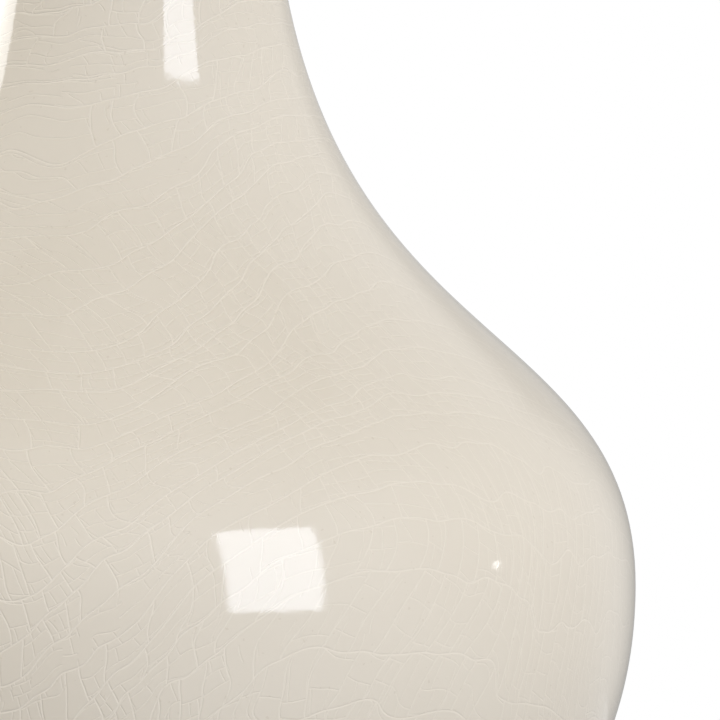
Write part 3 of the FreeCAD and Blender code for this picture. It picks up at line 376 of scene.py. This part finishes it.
def linen():
    """Slub linen: a plain weave round the shade's cone, with thick places in both directions."""
    shader = material("slub_linen")
    x, y, z = shader.axes()
    warp = shader.math("SINE", shader.math("MULTIPLY", shader.math("ARCTAN2", y, x), WARP_THREADS / 2))
    weft = shader.math("SINE", shader.math("MULTIPLY", z, math.pi / WEFT_PITCH))
    warp_height = shader.math("ABSOLUTE", warp)
    weft_height = shader.math("ABSOLUTE", weft)
    warp_over = shader.math("GREATER_THAN", shader.math("MULTIPLY", warp, weft), 0.0)
    under = shader.math("MULTIPLY", shader.math("MULTIPLY_ADD", warp_height, 0.4, 0.6), weft_height)
    over = shader.math("MULTIPLY", shader.math("MULTIPLY_ADD", weft_height, 0.4, 0.6), warp_height)
    difference = shader.math("SUBTRACT", over, under)
    weave = shader.math("MULTIPLY_ADD", difference, warp_over, under)
    weft_slubs = shader.noise(1.0, 3.0, shader.stretched(26.0, 26.0, 900.0))
    rim = shader.vector("NORMALIZE", shader.vector("MULTIPLY", shader.place(), (1.0, 1.0, 0.0)))
    rim = shader.vector("MULTIPLY", rim, (170.0, 170.0, 170.0))
    around = shader.vector("ADD", rim, shader.stretched(0.0, 0.0, 24.0))
    warp_slubs = shader.noise(1.0, 3.0, around)
    slubs = shader.math("MAXIMUM", shader.ramp(weft_slubs, 0.5, 0.78), shader.ramp(warp_slubs, 0.54, 0.8))
    thin = shader.math("MINIMUM", weft_slubs, warp_slubs)
    # Painted shade: the low places between the threads are painted darker, and the threads' tops lighter.
    colour = shader.mix(shader.ramp(weave, 0.0, 0.8), rgb(0.78, 0.735, 0.645), rgb(0.93, 0.90, 0.84))
    colour = shader.mix(shader.math("MULTIPLY", slubs, 0.6), colour, rgb(0.76, 0.70, 0.59))
    colour = shader.mix(shader.ramp(thin, 0.25, 0.45, 0.5, 0.0), colour, rgb(0.94, 0.92, 0.87))
    height = shader.math("MULTIPLY_ADD", slubs, 0.9, weave)
    relief = shader.bump(height, 0.00016)
    cloth = shader.principled(Base_Color=colour, Roughness=0.9, Specular_IOR_Level=0.2, Normal=relief,
                              Sheen_Weight=0.15, Sheen_Roughness=0.6)
    through = shader.add("BsdfTranslucent", {"Color": colour, "Normal": relief}).outputs[0]
    return shader.output(shader.blend(0.2, cloth, through))


def liner_film():
    shader = material("white_liner")
    mottle = shader.ramp(shader.noise(160.0, 4.0), 0.3, 0.7)
    colour = shader.mix(mottle, rgb(0.88, 0.87, 0.84), rgb(0.92, 0.91, 0.88))
    relief = shader.bump(shader.noise(1100.0, 2.0), 0.00003)
    film = shader.principled(Base_Color=colour, Roughness=0.55, Normal=relief)
    through = shader.add("BsdfTranslucent", {"Color": colour}).outputs[0]
    return shader.output(shader.blend(0.3, film, through))


def felt():
    shader = material("pressed_felt")
    fibres = shader.noise(1500.0, 4.0)
    clumps = shader.noise(170.0, 3.0)
    colour = shader.mix(shader.ramp(fibres, 0.3, 0.7), rgb(0.030, 0.024, 0.018), rgb(0.085, 0.070, 0.053))
    colour = shader.mix(shader.ramp(clumps, 0.45, 0.75, 0.0, 0.4), colour, rgb(0.10, 0.083, 0.064))
    height = shader.math("ADD", fibres, clumps)
    return shader.output(shader.principled(
        Base_Color=colour, Roughness=0.95, Specular_IOR_Level=0.1, Sheen_Weight=0.4, Sheen_Roughness=0.6,
        Normal=shader.bump(height, 0.0003)))


def fibre_card():
    shader = material("fibre_card")
    fibres = shader.noise(1.0, 4.0, shader.stretched(500.0, 500.0, 2400.0))
    colour = shader.mix(shader.ramp(fibres, 0.3, 0.7), rgb(0.20, 0.145, 0.09), rgb(0.30, 0.235, 0.155))
    relief = shader.bump(fibres, 0.00004)
    return shader.output(shader.principled(Base_Color=colour, Roughness=0.7, Normal=relief))


# Plastics, rubber and enamel


def rubber():
    shader = material("black_rubber")
    dust = shader.ramp(shader.noise(230.0, 4.0), 0.5, 0.8, 0.0, 0.35)
    colour = shader.mix(dust, rgb(0.012, 0.012, 0.012), rgb(0.06, 0.058, 0.055))
    return shader.output(shader.principled(
        Base_Color=colour, Roughness=0.62, Normal=shader.bump(shader.noise(1300.0, 2.0), 0.00003)))


def phenolic():
    """Dark brown moulded resin, with the faint flow marks of its filler."""
    shader = material("phenolic")
    stirred = shader.vector("ADD", shader.place(), shader.noise(60.0, 1.0, None, "Color"))
    flow = shader.noise(130.0, 5.0, stirred)
    colour = shader.mix(shader.ramp(flow, 0.4, 0.62), rgb(0.009, 0.006, 0.005), rgb(0.028, 0.014, 0.009))
    dull = shader.ramp(shader.noise(350.0, 3.0), 0.3, 0.7, 0.24, 0.36)
    return shader.output(shader.principled(
        Base_Color=colour, Roughness=dull, Normal=shader.bump(shader.noise(900.0, 1.0), 0.000008)))


def enamel():
    shader = material("white_enamel")
    cloud = shader.ramp(shader.noise(120.0, 3.0), 0.3, 0.7)
    colour = shader.mix(cloud, rgb(0.74, 0.73, 0.69), rgb(0.80, 0.79, 0.76))
    scuffs = shader.ramp(shader.noise(420.0, 3.0), 0.70, 0.76, 0.0, 0.7)
    colour = shader.mix(scuffs, colour, rgb(0.40, 0.38, 0.35))
    return shader.output(shader.principled(
        Base_Color=colour, Roughness=0.4, Coat_Weight=0.5, Coat_Roughness=0.15,
        Normal=shader.bump(shader.noise(800.0, 2.0), 0.00002)))


def frosted_glass():
    """The bulb's glass with its powdered white inside."""
    shader = material("frosted_glass")
    powder = shader.ramp(shader.noise(140.0, 4.0), 0.3, 0.7)
    colour = shader.mix(powder, rgb(0.86, 0.86, 0.835), rgb(0.89, 0.89, 0.87))
    relief = shader.bump(shader.noise(45.0, 1.0), 0.00003)
    glass = shader.principled(Base_Color=colour, Roughness=0.5, Coat_Weight=1.0, Coat_Roughness=0.05,
                              Coat_Normal=relief)
    through = shader.add("BsdfTranslucent", {"Color": colour}).outputs[0]
    return shader.output(shader.blend(0.3, glass, through))


def black_glass():
    shader = material("black_glass")
    grain = shader.ramp(shader.noise(500.0, 3.0), 0.35, 0.7)
    colour = shader.mix(grain, rgb(0.006, 0.006, 0.008), rgb(0.018, 0.018, 0.022))
    return shader.output(shader.principled(
        Base_Color=colour, Roughness=0.18, Normal=shader.bump(shader.noise(260.0, 2.0), 0.00003)))


# Meshes


def curve_points(start, first_handle, second_handle, end, steps):
    """Points along a smooth curve, without its start."""
    points = []
    for step in range(1, steps + 1):
        t = step / steps
        weights = ((1 - t) ** 3, 3 * t * (1 - t) ** 2, 3 * t * t * (1 - t), t ** 3)
        corners = (start, first_handle, second_handle, end)
        points.append(tuple(sum(w * c[axis] for w, c in zip(weights, corners)) for axis in (0, 1)))
    return points


def even_angles(count):
    return [2 * math.pi * n / count for n in range(count)]


def turned(name, outline, angles, lift=None):
    """A closed mesh that a closed outline of (radius, height) sweeps out about the Z axis.

    The lift, if there is one, gives how far an outline point moves outwards at an angle.
    """
    vertices = []
    for place, (radius, height) in enumerate(outline):
        for angle in angles:
            reach = radius + (lift(place, angle) if lift else 0.0)
            vertices.append((reach * math.cos(angle), reach * math.sin(angle), height))
    faces = []
    count = len(angles)
    for row in range(len(outline)):
        below = row * count
        above = (row + 1) % len(outline) * count
        for n in range(count):
            after = (n + 1) % count
            faces.append((below + n, below + after, above + after, above + n))
    return finished(name, vertices, faces)


def finished(name, vertices, faces, crease=35.0):
    """A smooth-shaded object of these faces, with its sharp corners kept sharp."""
    mesh = bpy.data.meshes.new(name)
    mesh.from_pydata(vertices, [], faces)
    mesh.validate()
    mesh.shade_smooth()
    mesh.set_sharp_from_angle(angle=math.radians(crease))
    piece = bpy.data.objects.new(name, mesh)
    bpy.context.scene.collection.objects.link(piece)
    return piece


def place_piece(piece, finish, slot_name, body, *nodes):
    """Gives a new piece its material and slot, and lets it stand for its CAD nodes on their body. The slot
    name is not used.
    """
    piece.data.materials.append(finish)
    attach(piece, body)
    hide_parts(*nodes)


# Gourd


def gourd_side(start, inset, steps):
    """The double curve from the foot to the neck's collar, set in by the wall for the inside."""
    belly = BELLY_RADIUS - inset
    waist = WAIST_RADIUS - inset
    crown = CROWN_RADIUS - inset
    neck = NECK_RADIUS - inset
    collar = GOURD_TOP - NECK_COLLAR - (NECK_SHOULDER if inset else 0.0)
    points = curve_points(start, (start[0] + FOOT_FLARE[0], start[1] + FOOT_FLARE[1]),
                          (belly, BELLY_LEVEL - BELLY_HOLD_BELOW), (belly, BELLY_LEVEL), steps)
    points += curve_points((belly, BELLY_LEVEL), (belly, BELLY_LEVEL + BELLY_HOLD_ABOVE),
                           (waist, WAIST_LEVEL - WAIST_HOLD_BELOW), (waist, WAIST_LEVEL), steps)
    points += curve_points((waist, WAIST_LEVEL), (waist, WAIST_LEVEL + WAIST_HOLD_ABOVE),
                           (crown, CROWN_LEVEL - CROWN_HOLD_BELOW), (crown, CROWN_LEVEL), steps)
    points += curve_points((crown, CROWN_LEVEL), (crown, CROWN_LEVEL + CROWN_HOLD_ABOVE),
                           (neck, collar - NECK_HOLD), (neck, collar), steps)
    return points


def gourd():
    ring_top = GOURD_FOOT + FOOT_RING_HEIGHT
    floor_top = GOURD_FOOT + FOOT_FLOOR
    edge = FOOT_RADIUS + FOOT_LIP
    outline = [(FOOT_OPENING, GOURD_FOOT), (FOOT_RADIUS, GOURD_FOOT)]
    outline += [(FOOT_RADIUS, ring_top), (edge, ring_top)]
    outline += gourd_side((edge, ring_top), 0.0, OUTER_ROWS)
    outline += [(NECK_RADIUS, GOURD_TOP), (NECK_OPENING, GOURD_TOP)]
    inner_start = (edge - BODY_WALL, floor_top)
    inside = [inner_start] + gourd_side(inner_start, BODY_WALL, INNER_ROWS)
    shoulder = GOURD_TOP - NECK_COLLAR - NECK_SHOULDER
    outline += [(NECK_OPENING, shoulder)] + inside[::-1] + [(FOOT_OPENING, floor_top)]
    body = turned("gourd_glazed", outline, even_angles(ROUND_STEPS))
    place_piece(body, glaze(), "glaze", "lamp", "gourd_body")


# Shade


def shade_radius(height):
    """The outside radius of the linen at a height."""
    share = (SHADE_TOP - height) / (SHADE_TOP - SHADE_BOTTOM)
    return SHADE_TOP_RADIUS + share * (SHADE_BOTTOM_RADIUS - SHADE_TOP_RADIUS)


def shade_angles():
    """Even angles, with close ones at both sides of the seam at the back."""
    half = SEAM_WIDTH / 2 / SHADE_BOTTOM_RADIUS
    step = SEAM_STEP / SHADE_BOTTOM_RADIUS
    back = math.pi / 2
    edges = [back - half - step, back - half, back + half, back + half + step]
    even = [angle for angle in even_angles(ROUND_STEPS) if not edges[0] - step < angle < edges[-1] + step]
    return sorted(even + edges)


def seam_lift(outer_count):
    """Lifts the first points of an outline, its outer ones, where the linen laps over itself at the back."""
    half = SEAM_WIDTH / 2 / SHADE_BOTTOM_RADIUS + 1e-6

    def lift(place, angle):
        return SEAM_RISE if place < outer_count and abs(angle - math.pi / 2) < half else 0.0

    return lift


def tape_outline(edge, inward):
    """The folded tape round an edge of the shade and its wire ring, and how many of its points lie outside.

    Inward is up or down, 1 or -1.
    """
    slant = math.hypot(1, (SHADE_BOTTOM_RADIUS - SHADE_TOP_RADIUS) / (SHADE_TOP - SHADE_BOTTOM))
    ring_inside = LINEN_THICKNESS + LINER_THICKNESS + (RING_WIRE + RING_GAP) * (slant + 1)
    crease = edge - inward * TAPE_THICKNESS
    outer_reach = edge + inward * TAPE_WIDTH
    inner_reach = edge + inward * TAPE_FOLD
    corners = []
    for offset, side in ((-TAPE_THICKNESS, 1), (ring_inside + TAPE_THICKNESS, -1)):
        corner = []
        for n in range(TAPE_ROUNDING_STEPS + 1):
            turn = math.pi / 2 * n / TAPE_ROUNDING_STEPS
            corner.append((offset + side * TAPE_ROUNDING * (1 - math.cos(turn)),
                           crease + inward * TAPE_ROUNDING * (1 - math.sin(turn))))
        corners.append(corner)
    outer = corners[0][::-1] + [(-TAPE_THICKNESS, outer_reach), (0.0, outer_reach), (0.0, edge)]
    inner = [(ring_inside, edge), (ring_inside, inner_reach), (ring_inside + TAPE_THICKNESS, inner_reach)]
    inner += corners[1]
    outline = [(shade_radius(height) - offset, height) for offset, height in outer + inner]
    return outline, len(outer)


def shade():
    angles = shade_angles()
    heights = [SHADE_BOTTOM + (SHADE_TOP - SHADE_BOTTOM) * n / SHADE_ROWS for n in range(SHADE_ROWS + 1)]
    outside = [(shade_radius(height), height) for height in heights]
    between = [(radius - LINEN_THICKNESS, height) for radius, height in outside]
    inside = [(radius - LINER_THICKNESS, height) for radius, height in between]
    cloth = linen()

    cover = turned("shade_cover", outside + between[::-1], angles, seam_lift(len(outside)))
    place_piece(cover, cloth, "linen", "shade", "shade_linen")
    lining = turned("shade_lining", between + inside[::-1], even_angles(ROUND_STEPS))
    place_piece(lining, liner_film(), "liner", "shade", "shade_liner")
    for name, edge, inward in (("bottom", SHADE_BOTTOM, 1), ("top", SHADE_TOP, -1)):
        outline, outer_count = tape_outline(edge, inward)
        tape = turned("shade_tape_" + name, outline, angles, seam_lift(outer_count))
        place_piece(tape, cloth, "linen", "shade", "shade_trim_" + name)


# Finishes of the pieces that keep their CAD shape


def finish_frame():
    brass = turned_metal("aged_brass", rgb(0.52, 0.37, 0.175), rgb(0.20, 0.125, 0.055), 0.3)
    bright_brass = drawn_metal("bright_brass", rgb(0.60, 0.44, 0.215), rgb(0.34, 0.23, 0.11), 0.2)
    zinc = drawn_metal("zinc_plate", rgb(0.56, 0.57, 0.58), rgb(0.34, 0.35, 0.36), 0.32)
    finishes = {
        felt(): ["base_felt", "foot_gasket"],
        brass: ["base_plinth", "vase_cap", "neck_column", "socket_cap", "socket_shell", "finial"],
        bright_brass: ["harp_saddle", "terminal_screws", "socket_contact", "harp_bow", "harp_seat",
                       "harp_ferrule_left", "harp_ferrule_right"],
        zinc: ["lamp_rod", "rod_washer", "rod_nut", "saddle_nut", "switch_shaft", "bulb_tip"],
        cast_iron(): ["base_weight"],
        rubber(): ["cord_bushing", "neck_gasket"],
        fibre_card(): ["socket_insulator"],
        phenolic(): ["socket_body", "switch_knob"],
        rolled_metal(): ["socket_screw_shell", "bulb_cap"],
        frosted_glass(): ["bulb_glass"],
        black_glass(): ["bulb_insulator"],
        enamel(): ["shade_spider", "shade_bottom_ring"],
    }
    for finish, nodes in finishes.items():
        for node in nodes:
            for place in frame["nodes"][node].material_slots:
                place.material = finish


# Stage


def direction(azimuth, elevation):
    """The unit vector towards an azimuth from the camera's side, -Y, and an elevation."""
    turn = math.radians(azimuth)
    rise = math.radians(elevation)
    return Vector((math.sin(turn) * math.cos(rise), -math.cos(turn) * math.cos(rise), math.sin(rise)))


def camera():
    pixel = BELLY_RADIUS / BELLY_PIXELS
    middle = PHOTO_SIZE / 2
    target = Vector(((middle - AXIS_COLUMN) * pixel, 0.0, BELLY_LEVEL + (BELLY_ROW - middle) * pixel))
    data = bpy.data.cameras.new("camera")
    data.sensor_width = CAMERA_SENSOR
    data.lens = CAMERA_SENSOR * CAMERA_DISTANCE / (PHOTO_SIZE * pixel)
    data.clip_start, data.clip_end = CAMERA_REACH
    eye = bpy.data.objects.new("camera", data)
    back = direction(0.0, CAMERA_ELEVATION)
    eye.location = target + back * CAMERA_DISTANCE
    eye.rotation_mode = "QUATERNION"
    eye.rotation_quaternion = (-back).to_track_quat("-Z", "Y")
    bpy.context.scene.collection.objects.link(eye)
    bpy.context.scene.camera = eye


def facing(piece, light, aim):
    """Puts a panel at its azimuth, elevation and distance from the aim, and turns it to face the aim."""
    away = direction(light["azimuth"], light["elevation"])
    piece.location = aim + away * light["distance"]
    piece.rotation_mode = "QUATERNION"
    piece.rotation_quaternion = away.to_track_quat("Z", "Y")


def panel_light(name, light, aim, glossy=True, colour=(1.0, 1.0, 1.0)):
    """A flat rectangular light of an even glow."""
    data = bpy.data.lights.new(name, "AREA")
    data.shape = "RECTANGLE"
    data.size = light["width"]
    data.size_y = light["height"]
    data.energy = light["glow"] * math.pi * light["width"] * light["height"]
    data.color = colour
    panel = bpy.data.objects.new(name, data)
    facing(panel, light, aim)
    roll = Quaternion((0.0, 0.0, 1.0), math.radians(light["roll"]))
    panel.rotation_quaternion = panel.rotation_quaternion @ roll
    panel.visible_camera = False
    panel.visible_glossy = glossy
    bpy.context.scene.collection.objects.link(panel)


def mirrored_card(name, corners, toned):
    """A studio card that shows in mirror images alone: its corners, and its tone from its shader."""
    card = finished(name, [(x, y, 0.0) for x, y in corners], [(0, 1, 2, 3)])
    shader = material(name)
    shader.output(shader.add("Emission", {"Color": toned(shader), "Strength": 1.0}).outputs[0])
    card.data.materials.append(shader.owner)
    for ray in ("camera", "diffuse", "transmission", "volume_scatter", "shadow"):
        setattr(card, "visible_" + ray, False)
    return card


def grey_card(aim):
    """A grey card behind the lamp, out of the picture, that darkens the rim of a glossy silhouette."""
    left, right = CARD["across"]
    low, high = CARD["up"]

    def toned(shader):
        reach, rise, _ = shader.axes()
        pale = 0.0
        for place, fades in ((reach, CARD_SIDE_FADES), (rise, CARD_TOP_FADES)):
            for start, end, share in fades:
                pale = shader.math("MAXIMUM", pale, shader.ramp(place, start, end, 0.0, share))
        return shader.mix(pale, rgb(0.40, 0.40, 0.40), rgb(0.97, 0.97, 0.97))

    card = mirrored_card("grey_card", [(left, low), (right, low), (right, high), (left, high)], toned)
    facing(card, CARD, aim)


def ceiling():
    """The studio's ceiling, grey above the lamp and white further out."""
    def toned(shader):
        pale = shader.ramp(shader.vector("LENGTH", shader.place()), *CEILING_FADE)
        return shader.mix(pale, rgb(0.50, 0.50, 0.49), rgb(1.0, 1.0, 1.0))

    half = CEILING_FADE[1]
    card = mirrored_card("ceiling", [(-half, -half), (half, -half), (half, half), (-half, half)], toned)
    card.location.z = CEILING_HEIGHT


def lights():
    aim = Vector((0.0, 0.0, AIM_LEVEL))
    panel_light("key_softbox", KEY, aim, colour=KEY_TINT)
    panel_light("rim_softbox", RIM, aim)
    panel_light("spark", SPARK, aim)
    panel_light("left_fill", LEFT_FILL, aim, glossy=False)
    panel_light("right_fill", RIGHT_FILL, aim, glossy=False)
    panel_light("back_fill", BACK_FILL, aim, glossy=False)
    panel_light("back_low", BACK_LOW, aim, glossy=False)
    grey_card(aim)
    ceiling()


def world():
    bpy.context.scene.world = bpy.data.worlds.new("studio")
    shader = Shader(bpy.context.scene.world)
    soft = shader.add("Background", {"Color": rgb(AMBIENT, AMBIENT, AMBIENT)}).outputs[0]
    white = shader.add("Background", {"Color": rgb(1.0, 1.0, 1.0)}).outputs[0]
    shader.output(shader.blend(shader.seen(), soft, white), "OutputWorld")


def floor():
    """A pale floor that keeps the lamp's shadow near it and goes over into even white further out.

    It is open under the lamp's felt and clear from below, so that the underside can be looked at.
    """
    angles = even_angles(FLOOR_STEPS)
    points = []
    for reach in (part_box("base_felt")[1].x - FLOOR_LAP, FLOOR_RADIUS):
        points += [(reach * math.cos(angle), reach * math.sin(angle), 0.0) for angle in angles]
    count = FLOOR_STEPS
    faces = [(n, count + n, count + (n + 1) % count, (n + 1) % count) for n in range(count)]
    piece = finished("floor", points, faces)
    shader = material("pale_floor")
    seen = shader.seen()
    grain = shader.noise(40.0, 3.0)
    shown = shader.mix(grain, rgb(0.95, 0.95, 0.95), rgb(0.97, 0.97, 0.97))
    bounced = shader.mix(grain, rgb(0.42, 0.42, 0.42), rgb(0.46, 0.46, 0.46))
    near = shader.add("BsdfDiffuse", {"Color": shader.mix(seen, bounced, shown)}).outputs[0]
    white = shader.add("Emission", {"Color": rgb(1.0, 1.0, 1.0), "Strength": 1.0}).outputs[0]
    far = shader.ramp(shader.vector("LENGTH", shader.place()), *FLOOR_FADE)
    above = shader.blend(shader.math("MULTIPLY", seen, far), near, white)
    clear = shader.add("BsdfTransparent").outputs[0]
    below = shader.math("MULTIPLY", shader.add("NewGeometry").outputs["Backfacing"], seen)
    piece.data.materials.append(shader.output(shader.blend(below, above, clear)))


gourd()
shade()
finish_frame()
camera()
lights()
world()
floor()
bpy.context.scene.view_settings.view_transform = "Standard"
